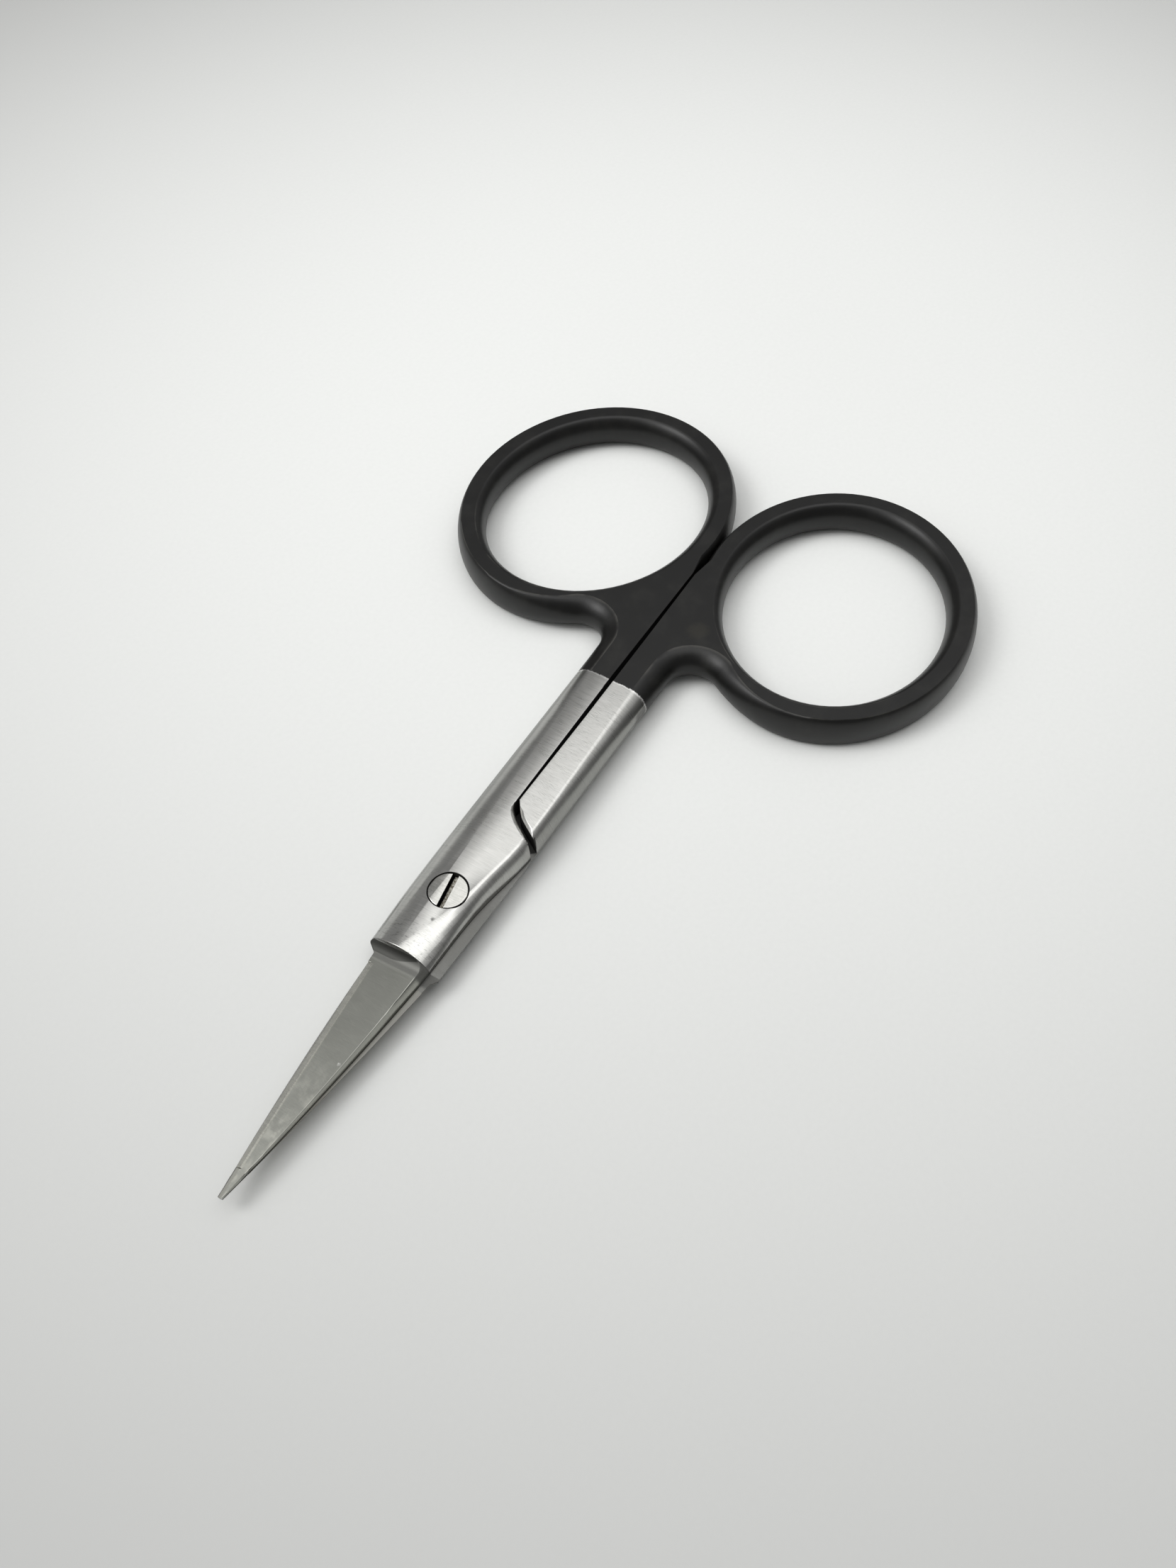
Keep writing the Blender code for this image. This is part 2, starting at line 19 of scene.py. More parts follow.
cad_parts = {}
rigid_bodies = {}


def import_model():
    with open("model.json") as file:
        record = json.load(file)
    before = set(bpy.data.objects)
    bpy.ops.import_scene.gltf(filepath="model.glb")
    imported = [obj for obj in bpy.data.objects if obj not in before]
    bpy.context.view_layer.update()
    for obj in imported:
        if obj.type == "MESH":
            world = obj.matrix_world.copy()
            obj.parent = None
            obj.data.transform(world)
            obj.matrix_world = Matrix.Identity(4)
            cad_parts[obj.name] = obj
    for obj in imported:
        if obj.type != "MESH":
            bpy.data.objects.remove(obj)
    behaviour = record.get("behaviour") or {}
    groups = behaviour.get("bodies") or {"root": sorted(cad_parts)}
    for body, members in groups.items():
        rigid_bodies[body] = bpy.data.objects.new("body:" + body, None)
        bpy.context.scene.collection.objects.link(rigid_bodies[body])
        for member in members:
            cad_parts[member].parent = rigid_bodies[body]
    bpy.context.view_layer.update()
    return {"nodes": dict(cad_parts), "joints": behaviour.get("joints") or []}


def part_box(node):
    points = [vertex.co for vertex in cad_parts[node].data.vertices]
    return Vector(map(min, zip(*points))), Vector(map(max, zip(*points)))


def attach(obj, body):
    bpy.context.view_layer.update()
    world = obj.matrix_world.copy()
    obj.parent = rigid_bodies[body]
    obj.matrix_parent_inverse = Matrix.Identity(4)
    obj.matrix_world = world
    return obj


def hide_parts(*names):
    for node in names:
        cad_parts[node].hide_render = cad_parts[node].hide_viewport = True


MM = 0.001
CUTTING_BEVEL = "cutting_bevel"
# Mesh attribute on the coat's creases, which wear and carry a painted highlight.
RUBBED_AND_LIT = "rubbed"
# A face counts as cutting bevel where its normal leans this far to the cutting side.
BEVEL_FACING = 0.3
COAT_FROM_PIVOT = 28.9 * MM
STEP_FROM_PIVOT = -7.05 * MM

Colour = tuple[float, float, float]
Point = tuple[float, float, float]
Number = Union[float, "Value"]

log = logging.getLogger("scissors")


def towards(heading: float, pitch: float) -> Vector:
    """Gives the direction at a heading from +X and a pitch above the floor."""
    flat = math.cos(pitch)
    return Vector((flat * math.cos(heading), flat * math.sin(heading), math.sin(pitch)))


class Value:
    """A shader socket that takes part in Python expressions."""

    def __init__(self, graph: "Graph", socket: bpy.types.NodeSocket) -> None:
        """Wraps one output socket of a graph."""
        self.graph = graph
        self.socket = socket

    def __add__(self, other: Number) -> "Value":
        """Adds a number or another value."""
        return self.graph.math("ADD", self, other)

    def __radd__(self, other: Number) -> "Value":
        """Adds this value to a number."""
        return self.graph.math("ADD", other, self)

    def __sub__(self, other: Number) -> "Value":
        """Takes a number or another value away."""
        return self.graph.math("SUBTRACT", self, other)

    def __rsub__(self, other: Number) -> "Value":
        """Takes this value away from a number."""
        return self.graph.math("SUBTRACT", other, self)

    def __mul__(self, other: Number) -> "Value":
        """Multiplies by a number or another value."""
        return self.graph.math("MULTIPLY", self, other)

    def __rmul__(self, other: Number) -> "Value":
        """Multiplies a number by this value."""
        return self.graph.math("MULTIPLY", other, self)

    def __truediv__(self, other: Number) -> "Value":
        """Divides by a number or another value."""
        return self.graph.math("DIVIDE", self, other)

    def __rtruediv__(self, other: Number) -> "Value":
        """Divides a number by this value."""
        return self.graph.math("DIVIDE", other, self)

    def ramp(self, low: float, high: float) -> "Value":
        """Rises smoothly from 0 at low to 1 at high, or falls from 1 to 0 where low is the larger.

        Args:
            low: The value at which the result is 0.
            high: The value at which the result is 1.

        Returns:
            The eased value between 0 and 1.
        """
        if low > high:
            return 1 - self.ramp(high, low)
        return self.graph.add(
            "ShaderNodeMapRange",
            {"interpolation_type": "SMOOTHSTEP"},
            {"Value": self, "From Min": low, "From Max": high},
        )


class Graph:
    """The node tree of one material or of the world."""

    def __init__(self, tree: bpy.types.NodeTree) -> None:
        """Empties the tree, so that every node in it is made here."""
        self.tree = tree
        tree.nodes.clear()

    def add(
        self,
        kind: str,
        settings: dict[str, Any],
        sockets: dict[Union[int, str], Any],
        output: Union[int, str] = 0,
    ) -> Value:
        """Adds any node.

        Args:
            kind: The node's type.
            settings: The node's own settings, set before its sockets.
            sockets: A number, tuple or Value for each input that isn't left as it is.
            output: The output that is wanted.

        Returns:
            That output.
        """
        node = self.tree.nodes.new(kind)
        for name, setting in settings.items():
            setattr(node, name, setting)
        for key, given in sockets.items():
            socket = node.inputs[key]
            if isinstance(given, Value):
                self.tree.links.new(given.socket, socket)
            elif isinstance(given, tuple) and len(socket.default_value) > len(given):
                socket.default_value = (*given, 1.0)
            else:
                socket.default_value = given
        return Value(self, node.outputs[output] if len(node.outputs) else None)

    def math(self, operation: str, first: Number, second: Number = 0.0) -> Value:
        """Adds a Math node for one operation on two numbers."""
        return self.add("ShaderNodeMath", {"operation": operation}, {0: first, 1: second})

    def place(self) -> Value:
        """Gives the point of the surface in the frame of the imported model."""
        return self.add("ShaderNodeTexCoord", {}, {}, "Object")

    def axis(self, vector: Value, name: str) -> Value:
        """Gives one coordinate of a vector, by its name X, Y or Z."""
        return self.add("ShaderNodeSeparateXYZ", {}, {"Vector": vector}, name)

    def attribute(self, name: str) -> Value:
        """Gives a number that the mesh carries under a name."""
        return self.add("ShaderNodeAttribute", {"attribute_name": name}, {}, "Fac")

    def dot(self, vector: Value, way: Point) -> Value:
        """Gives how far a vector reaches along a direction."""
        return self.add("ShaderNodeVectorMath", {"operation": "DOT_PRODUCT"}, {0: vector, 1: way}, "Value")

    def distance(self, vector: Value, point: Point) -> Value:
        """Gives the distance of a vector from a point."""
        return self.add("ShaderNodeVectorMath", {"operation": "DISTANCE"}, {0: vector, 1: point}, "Value")

    def radius(self, vector: Value, centre: Point) -> Value:
        """Gives the distance of a vector from an upright axis."""
        flat = self.stretch(vector, (1.0, 1.0, 0.0))
        return self.distance(flat, (centre[0], centre[1], 0.0))

    def stretch(self, vector: Value, scale: Point) -> Value:
        """Scales a vector along each axis."""
        return self.add("ShaderNodeVectorMath", {"operation": "MULTIPLY"}, {0: vector, 1: scale})

    def strokes(self, vector: Value, pitch: float, length: float, turn: float = 0.0, detail: float = 3.0) -> Value:
        """Gives noise drawn out into strokes across the X axis.

        Args:
            vector: Where the noise is read.
            pitch: How wide a stroke is.
            length: How long it is.
            turn: The angle of the strokes from square across.
            detail: How many finer layers are added.

        Returns:
            The noise, mostly between 0.3 and 0.7.
        """
        turned = self.add("ShaderNodeVectorRotate", {"rotation_type": "Z_AXIS"}, {"Vector": vector, "Angle": turn})
        return self.noise(self.stretch(turned, (1 / pitch, 1 / length, 1 / length)), detail, 0.6)

    def noise(self, vector: Value, detail: float = 3.0, roughness: float = 0.55) -> Value:
        """Gives smooth noise with features about one unit of the vector across.

        Args:
            vector: Where the noise is read.
            detail: How many finer layers are added.
            roughness: How strong the finer layers are.

        Returns:
            The noise, mostly between 0.3 and 0.7.
        """
        return self.add(
            "ShaderNodeTexNoise", {}, {"Vector": vector, "Scale": 1.0, "Detail": detail, "Roughness": roughness}
        )

    def grain(self, vector: Value, size: float, detail: float = 3.0, roughness: float = 0.55) -> Value:
        """Gives smooth noise with features about one size across."""
        return self.noise(self.stretch(vector, (1 / size,) * 3), detail, roughness)

    def mix(self, factor: Number, first: Any, second: Any) -> Value:
        """Mixes two colours.

        Args:
            factor: 0 for the first colour and 1 for the second.
            first: A colour or a colour output.
            second: A colour or a colour output.

        Returns:
            The mixed colour.
        """
        return self.add("ShaderNodeMix", {"data_type": "RGBA"}, {0: factor, 6: first, 7: second}, 2)

    def bump(self, height: Value, depth: float) -> Value:
        """Turns a height into a surface direction, where a height of 1 is as deep as the depth."""
        return self.add("ShaderNodeBump", {}, {"Strength": 1.0, "Distance": depth, "Height": height}, "Normal")


@dataclass(frozen=True)
class Mark:
    """A local trace of making or use on a surface; a white one is a painted glint."""

    centre: Point
    reach: float
    colour: Colour
    roughness: float
    strength: float
    ragged: float
    edge_grain: float = 0.4
    solid: float = 0.35

    def cover(self, graph: Graph, place: Value) -> Value:
        """Gives how far the mark covers each point, from 0 to its strength.

        Args:
            graph: The graph of the finish that bears the mark.
            place: The point of the surface.

        Returns:
            The cover.
        """
        edge = graph.grain(place, self.reach * self.edge_grain, 4.0, 0.65)
        away = graph.distance(place, self.centre) / self.reach + (edge - 0.5) * (2.0 * self.ragged)
        return away.ramp(1.0, self.solid) * self.strength


@dataclass(frozen=True)
class Crevice:
    """A narrow gap along a straight line in plan, whose walls get painted shade below a height."""

    start: tuple[float, float]
    end: tuple[float, float]
    half_width: float
    top: float
    taper: float = 0.0
    fade: float = 0.08 * MM

    def cover(self, graph: Graph, place: Value) -> Value:
        """Gives how much painted shade the gap lays on each point, from 0 to 1.

        Args:
            graph: The graph of the finish on the walls.
            place: The point of the surface.

        Returns:
            The cover.
        """
        start, run = Vector(self.start), Vector(self.end) - Vector(self.start)
        ahead = run.normalized()
        aside = ahead.orthogonal()
        off = graph.math("ABSOLUTE", graph.dot(place, (*aside, 0.0)) - aside.dot(start))
        gone = graph.dot(place, (*ahead, 0.0)) - ahead.dot(start)
        inside = off.ramp(self.half_width + self.fade, self.half_width)
        inside = inside * gone.ramp(-self.fade, 0.0) * gone.ramp(run.length + self.fade, run.length - self.taper)
        return inside * graph.axis(place, "Z").ramp(self.top + self.fade, self.top)


@dataclass(frozen=True)
class Finish:
    """A surface finish that makes its own material."""

    name: str

    def sockets(self, graph: Graph) -> dict[str, Any]:
        """Gives the shader's sockets, which each finish works out for itself."""
        raise NotImplementedError

    def material(self) -> bpy.types.Material:
        """Makes the material.

        Returns:
            A material whose looks come from nodes alone.
        """
        material = bpy.data.materials.new(self.name)
        material.use_nodes = True
        graph = Graph(material.node_tree)
        shader = graph.add("ShaderNodeBsdfPrincipled", {}, self.sockets(graph))
        graph.add("ShaderNodeOutputMaterial", {}, {"Surface": shader})
        return material

    @staticmethod
    def marked(
        graph: Graph, place: Value, marks: tuple[Mark, ...], colour: Any, roughness: Number
    ) -> tuple[Any, Number]:
        """Lays marks over a colour and a roughness.

        Args:
            graph: The graph of the finish.
            place: The point of the surface.
            marks: The marks, the last one on top.
            colour: The colour under them.
            roughness: The roughness under them.

        Returns:
            The colour and the roughness with the marks on.
        """
        for mark in marks:
            cover = mark.cover(graph, place)
            colour = graph.mix(cover, colour, mark.colour)
            roughness = roughness + cover * (mark.roughness - roughness)
        return colour, roughness


@dataclass(frozen=True)
class BrushedSteel(Finish):
    """Satin steel: strokes across the shank, a ground blade, rough lap faces, a ragged edge where the coat ends, and
    painted shade and highlights.
    """

    pivot: Point
    coat_line: float
    step: float
    marks: tuple[Mark, ...]
    crevices: tuple[Crevice, ...]
    scratches: float
    levelled: float
    bright: Colour = (0.70, 0.695, 0.668)
    dull: Colour = (0.55, 0.55, 0.526)
    ground: Colour = (0.335, 0.338, 0.307)
    smudged: Colour = (0.50, 0.495, 0.44)
    # Painted highlight for the honed cutting bevel, lighter than the steel.
    bevel: Colour = (0.86, 0.85, 0.78)
    # Painted shade for the sides, the lap faces and the step's hollow; also the colour of the flecks.
    shade_and_fleck: Colour = (0.15, 0.15, 0.142)
    shade: Colour = (0.06, 0.06, 0.056)
    # Painted shade for the gaps: the screw's seat and the crevices' walls.
    gap_shade: Colour = (0.075, 0.075, 0.071)
    # Painted highlight along the steel just before the coat's edge.
    lip_highlight: Colour = (0.85, 0.845, 0.82)
    fringe: Colour = (0.02, 0.02, 0.0195)
    stroke_pitch: float = 0.11 * MM
    stroke_length: float = 1.9 * MM
    stroke_depth: float = 0.0035 * MM
    scratch_turn: float = math.radians(16)
    fleck_pitch: float = 0.13 * MM
    fleck_length: float = 0.5 * MM
    fleck_turn: float = math.radians(-8)
    pass_pitch: float = 0.16 * MM
    pass_length: float = 1.4 * MM
    pass_turn: float = math.radians(24)
    cloud_size: float = 2.6 * MM
    mottle_size: float = 0.5 * MM
    speckle_size: float = 0.3 * MM
    smudge_length: float = 1.6 * MM
    smudge_width: float = 0.9 * MM
    seat_radius: float = 1.95 * MM
    step_reach: float = 0.92 * MM
    edge_wander: float = 0.4 * MM
    crown: float = 30.0
    crown_at: float = -0.6 * MM
    level_at: float = -0.4 * MM

    def sockets(self, graph: Graph) -> dict[str, Any]:
        """Lays strokes, the ground blade, painted shade on the sides, the lap and the gaps, the coat's edge with its
        painted highlight, and the marks over each other.

        Args:
            graph: The graph of this finish.

        Returns:
            The shader's sockets.
        """
        place = graph.place()
        along = graph.axis(place, "X")
        cloud = graph.grain(place, self.cloud_size)
        stroke = graph.strokes(place, self.stroke_pitch, self.stroke_length)
        scratch = graph.strokes(place, self.stroke_pitch, self.stroke_length / 3, self.scratch_turn, 2.0)
        scratch = scratch.ramp(0.5, 0.72) * self.scratches
        blade = along.ramp(self.step + 0.03 * MM, self.step - 0.03 * MM)

        fleck = graph.strokes(place, self.fleck_pitch, self.fleck_length, self.fleck_turn, 2.0).ramp(0.54, 0.7)
        fleck = fleck * along.ramp(self.step + 5.0 * MM, self.step + 1.0 * MM) * 0.5
        colour = graph.mix((stroke * 0.75 + cloud * 0.25).ramp(0.28, 0.72), self.dull, self.bright)
        colour = graph.mix(scratch, colour, self.dull)
        colour = graph.mix(fleck, colour, self.shade_and_fleck)
        roughness = 0.23 + stroke * 0.06 + cloud * 0.05
        colour, roughness = self.grind(graph, place, colour, roughness, blade)
        # Painted shade on the sides and the lap faces.
        colour, roughness = self.shade_sides(graph, place, colour, roughness, blade)
        colour, roughness = self.marked(graph, place, self.marks, colour, roughness)

        # Painted shade in the screw's seat and down the walls of the slit and the shoulder's gap.
        dark = graph.radius(place, self.pivot).ramp(self.seat_radius + 0.03 * MM, self.seat_radius)
        for crevice in self.crevices:
            dark = graph.math("MAXIMUM", dark, crevice.cover(graph, place))
        colour = graph.mix(dark, colour, self.gap_shade)

        end = along + (graph.grain(place, self.speckle_size, 3.0, 0.7) - 0.5) * self.edge_wander
        # Painted highlight along the steel just before the coat's edge.
        lip_highlight = end.ramp(self.coat_line - 0.32 * MM, self.coat_line - 0.16 * MM)
        edge = end.ramp(self.coat_line - 0.12 * MM, self.coat_line - 0.04 * MM)
        colour = graph.mix(lip_highlight * (1 - dark), colour, self.lip_highlight)

        relief = (stroke + scratch * 1.5 + cloud * 0.2) * self.stroke_depth
        return {
            "Base Color": graph.mix(edge, colour, self.fringe),
            "Metallic": 1 - edge,
            "Roughness": roughness + dark * 0.3,
            "Normal": graph.bump(relief + self.swell(graph, place) * (1 - blade), 1.0),
        }

    def swell(self, graph: Graph, place: Value) -> Value:
        """Gives the height that fills out the joint's crown on one side and levels it on the other.

        Args:
            graph: The graph of this finish.
            place: The point of the surface.

        Returns:
            The height in metres.
        """
        aside = graph.axis(place, "Y")
        lean = graph.math("MAXIMUM", aside - self.crown_at, 0.0)
        back = graph.math("MINIMUM", aside - self.level_at, 0.0)
        flat = graph.axis(place, "X").ramp(self.step + 12.0 * MM, self.step + 3.0 * MM) * self.levelled
        return back * back * flat - lean * lean * self.crown

    def shade_sides(
        self, graph: Graph, place: Value, colour: Value, roughness: Value, blade: Value
    ) -> tuple[Value, Value]:
        """Lays painted shade on the forging's sides, and mottled painted shade on the lap faces, which are also made
        rougher.

        Args:
            graph: The graph of this finish.
            place: The point of the surface.
            colour: The colour of the brushed steel.
            roughness: Its roughness.
            blade: 1 on the blade and 0 elsewhere.

        Returns:
            The colour and the roughness with the sides dulled.
        """
        level = graph.math("ABSOLUTE", graph.axis(place, "Z") - self.pivot[2])
        shank = graph.axis(place, "X").ramp(self.pivot[0] + 4.0 * MM, self.pivot[0] + 10.0 * MM)
        side = level.ramp(1.8 * MM, 1.2 * MM) * 0.45 + level.ramp(1.98 * MM, 1.7 * MM) * shank * 0.25
        # Painted shade on the rounded sides, with more of it along the shank.
        colour = graph.mix(side * (1 - blade), colour, self.shade_and_fleck)
        # Mottled painted shade on the lap faces, which are also made rougher.
        lap = level.ramp(0.10 * MM, 0.06 * MM)
        mottle = graph.grain(place, self.mottle_size, 4.0, 0.65)
        return graph.mix(lap * (0.72 + mottle * 0.3), colour, self.shade_and_fleck), roughness + lap * 0.12

    def grind(
        self, graph: Graph, place: Value, colour: Value, roughness: Value, blade: Value
    ) -> tuple[Value, Value]:
        """Puts the ground finish on the blade, smudged towards the tip, painted shade in the step's hollow and corner,
        and a painted highlight on the cutting bevel.

        Args:
            graph: The graph of this finish.
            place: The point of the surface.
            colour: The colour of the forging.
            roughness: Its roughness.
            blade: 1 on the blade and 0 elsewhere.

        Returns:
            The colour and the roughness with the blade on.
        """
        along = graph.axis(place, "X")
        spread = (1 / self.smudge_length, 1 / self.smudge_width, 1 / self.smudge_width)
        smudge = graph.noise(graph.stretch(place, spread), 3.0, 0.6).ramp(0.4, 0.66)
        smudge = smudge * along.ramp(self.step - 9.0 * MM, self.step - 18.0 * MM)
        pass_line = graph.strokes(place, self.pass_pitch, self.pass_length, self.pass_turn, 2.0)
        ground = graph.mix((pass_line - 0.5) * 0.5 + smudge * 0.45, self.ground, self.smudged)
        # Painted shade in the step's hollow, which is also made rougher.
        hollow = along.ramp(self.step - self.step_reach * 1.75, self.step - self.step_reach * 1.3)
        ground = graph.mix(hollow * 0.8, ground, self.shade_and_fleck)
        # Painted shade in the step's corner.
        reach = graph.axis(place, "Y").ramp(-2.6 * MM, 1.0 * MM) * (self.step_reach * 0.85)
        corner = (along + reach).ramp(self.step - 0.06 * MM, self.step + 0.06 * MM)
        ground = graph.mix(corner * 0.85, ground, self.shade)
        # Painted highlight on the honed cutting bevel's faces.
        ground = graph.mix(graph.attribute(CUTTING_BEVEL) * 0.85, ground, self.bevel)
        return graph.mix(blade, colour, ground), roughness + blade * (0.01 + smudge * 0.05 + hollow * 0.3)


@dataclass(frozen=True)
class BlackCoat(Finish):
    """Satin black coat over forged steel, worn a little along its creases, which also carry a painted highlight."""

    marks: tuple[Mark, ...]
    crevices: tuple[Crevice, ...]
    neck: float
    deep: Colour = (0.0042, 0.0041, 0.0037)
    worn: Colour = (0.011, 0.0107, 0.0094)
    # Worn coat on the creases, lightened as a painted highlight.
    bared_sheen: Colour = (0.06, 0.058, 0.052)
    # Painted shade for the crevices' walls.
    gap_shade: Colour = (0.001, 0.001, 0.001)
    cloud_size: float = 3.0 * MM
    grain_size: float = 0.12 * MM
    grain_depth: float = 0.004 * MM
    rub_sheen_full: float = 9.0 * MM
    rub_sheen_gone: float = 17.0 * MM

    def sockets(self, graph: Graph) -> dict[str, Any]:
        """Lays clouding, fine grain, the worn creases with their painted highlight and the crevices' painted shade
        over each other.

        Args:
            graph: The graph of this finish.

        Returns:
            The shader's sockets.
        """
        place = graph.place()
        cloud = graph.grain(place, self.cloud_size, 4.0, 0.6)
        grain = graph.grain(place, self.grain_size, 2.0)
        colour = graph.mix(cloud.ramp(0.45, 0.75), self.deep, self.worn)
        roughness = 0.30 + cloud * 0.10 + grain * 0.05
        # Wear with a painted highlight along the creases, fading away from the neck.
        rub_sheen = graph.attribute(RUBBED_AND_LIT).ramp(0.35, 1.0) * cloud.ramp(0.3, 0.6)
        rub_sheen = rub_sheen * graph.axis(place, "X").ramp(self.neck + self.rub_sheen_gone, self.neck + self.rub_sheen_full)
        colour = graph.mix(rub_sheen * 0.8, colour, self.bared_sheen)
        colour, roughness = self.marked(graph, place, self.marks, colour, roughness)
        # Painted shade down the crevices' walls, which are also made rougher.
        for crevice in self.crevices:
            dark = crevice.cover(graph, place)
            colour = graph.mix(dark, colour, self.gap_shade)
            roughness = roughness + dark * 0.4
        return {
            "Base Color": colour,
            "Roughness": roughness,
            "Specular IOR Level": 0.4,
            "Normal": graph.bump(grain + cloud * 1.5, self.grain_depth),
        }


@dataclass(frozen=True)
class GroundCarbide(Finish):
    """Hard strip along a cutting edge: fine grinding across it, a little warmer than the blade, with a painted
    highlight on its bevel and painted shade on its lap face.
    """

    lap: float
    light: Colour = (0.40, 0.398, 0.355)
    dark: Colour = (0.30, 0.30, 0.27)
    # Painted highlight for the honed bevel.
    bevel: Colour = (0.86, 0.85, 0.78)
    # Painted shade for the lap face.
    shade_and_fleck: Colour = (0.19, 0.188, 0.172)
    stroke_pitch: float = 0.1 * MM
    stroke_length: float = 1.2 * MM
    stroke_depth: float = 0.004 * MM
    cloud_size: float = 4.0 * MM

    def sockets(self, graph: Graph) -> dict[str, Any]:
        """Lays fine grinding strokes over a slow change of tone, then a painted highlight on the bevel and painted
        shade on the lap face.

        Args:
            graph: The graph of this finish.

        Returns:
            The shader's sockets.
        """
        place = graph.place()
        stroke = graph.strokes(place, self.stroke_pitch, self.stroke_length)
        cloud = graph.grain(place, self.cloud_size, 2.0)
        colour = graph.mix((stroke * 0.5 + cloud * 0.5).ramp(0.35, 0.65), self.dark, self.light)
        # Painted shade on the lap face.
        flat = graph.math("ABSOLUTE", graph.axis(place, "Z") - self.lap).ramp(0.08 * MM, 0.05 * MM)
        # Painted highlight on the bevel.
        colour = graph.mix(graph.attribute(CUTTING_BEVEL) * (0.6 + stroke * 0.5), colour, self.bevel)
        return {
            "Base Color": graph.mix(flat, colour, self.shade_and_fleck),
            "Metallic": 1.0,
            "Roughness": 0.26 + stroke * 0.12,
            "Normal": graph.bump(stroke, self.stroke_depth),
        }


@dataclass(frozen=True)
class GroundScrew(Finish):
    """Screw ground flush with the joint: faint strokes, painted shade round its rim and a dirty rough slot with
    painted shade down its walls and along one side.
    """

    axis_at: Point
    face: float
    slot_turn: float = math.radians(10)
    slot_half: float = 0.31 * MM
    slot_depth: float = 0.55 * MM
    head_radius: float = 1.86 * MM
    light: Colour = (0.66, 0.655, 0.62)
    dark: Colour = (0.53, 0.528, 0.495)
    dirt: Colour = (0.10, 0.085, 0.06)
    scraped: Colour = (0.55, 0.54, 0.48)
    gap_shade: Colour = (0.004, 0.004, 0.004)
    stroke_pitch: float = 0.14 * MM
    stroke_length: float = 1.2 * MM
    stroke_depth: float = 0.004 * MM
    stain_size: float = 0.8 * MM
    pit_size: float = 0.3 * MM

    def sockets(self, graph: Graph) -> dict[str, Any]:
        """Lays strokes, stains, the rim's painted shade and the slot's walls and floor, with their painted shade, over
        each other.

        Args:
            graph: The graph of this finish.

        Returns:
            The shader's sockets.
        """
        place = graph.place()
        height = graph.axis(place, "Z")
        stroke = graph.strokes(place, self.stroke_pitch, self.stroke_length)
        stain = graph.grain(place, self.stain_size, 4.0, 0.65)
        pits = graph.grain(place, self.pit_size, 5.0, 0.75)
        aside = (-math.sin(self.slot_turn), math.cos(self.slot_turn), 0.0)
        off = graph.dot(place, aside) - Vector(aside).dot(Vector(self.axis_at))
        deep = height.ramp(self.face - self.slot_depth * 0.4, self.face - self.slot_depth * 0.7)
        slot = graph.math("ABSOLUTE", off).ramp(self.slot_half + 0.03 * MM, self.slot_half + 0.01 * MM)
        wall = height.ramp(self.face - 0.02 * MM, self.face - 0.06 * MM) * slot
        rim = graph.radius(place, self.axis_at).ramp(self.head_radius - 0.05 * MM, self.head_radius - 0.02 * MM)
        colour = graph.mix((stroke * 0.5 + stain * 0.5).ramp(0.36, 0.62), self.dark, self.light)
        floor = graph.mix(pits.ramp(0.4, 0.62), self.dirt, self.scraped)
        # Painted shade along one side of the slot's floor, dirt on the rest.
        floor = graph.mix(off.ramp(0.11 * MM, 0.17 * MM), floor, self.gap_shade)
        # Painted shade down the slot's walls, above its dirty floor.
        colour = graph.mix(wall, colour, graph.mix(deep, self.gap_shade, floor))
        return {
            # Painted shade round the head's rim.
            "Base Color": graph.mix(rim, colour, self.gap_shade),
            "Metallic": 1.0,
            "Roughness": 0.2 + stain * 0.12 + wall * (0.15 + pits * 0.2),
            "Normal": graph.bump(stroke + wall * (pits * 5.0), self.stroke_depth),
        }


@dataclass(frozen=True)
class PaperFloor(Finish):
    """Seamless pale sweep with painted light: brightest in the middle and darker towards its edges."""

    middle: Point = (66 * MM, 12 * MM, 0.0)
    near: Colour = (0.895, 0.905, 0.885)
    far: Colour = (0.30, 0.30, 0.294)
    fleck: Colour = (0.5, 0.5, 0.49)
    near_reach: float = 25 * MM
    far_reach: float = 235 * MM
    grain_size: float = 0.5 * MM

    def sockets(self, graph: Graph) -> dict[str, Any]:
        """Fades the colour outwards as painted falloff of the light, and adds a faint paper grain.

        Args:
            graph: The graph of this finish.

        Returns:
            The shader's sockets.
        """
        place = graph.place()
        # Painted falloff of the light from the middle outwards.
        away = graph.distance(place, self.middle).ramp(self.near_reach, self.far_reach)
        grain = graph.grain(place, self.grain_size)
        colour = graph.mix(away, self.near, self.far)
        return {
            "Base Color": graph.mix((grain - 0.5) * 0.12 + 0.03, colour, self.fleck),
            "Roughness": 0.75,
            "Specular IOR Level": 0.15,
        }


class Side(Enum):
    """The two halves of the scissors, by the CAD body that each belongs to."""

    UPPER = "upper"
    LOWER = "lower"

    @property
    def half(self) -> str:
        """The CAD node of the forging."""
        return f"{self.value}_half"

    @property
    def turn(self) -> int:
        """The sign of Y on the side of this half's cutting edge, and of Z on its outer side."""
        return 1 if self is Side.UPPER else -1

    @property
    def insert(self) -> str:
        """The CAD node of the hard strip."""
        return f"{self.value}_carbide_insert"


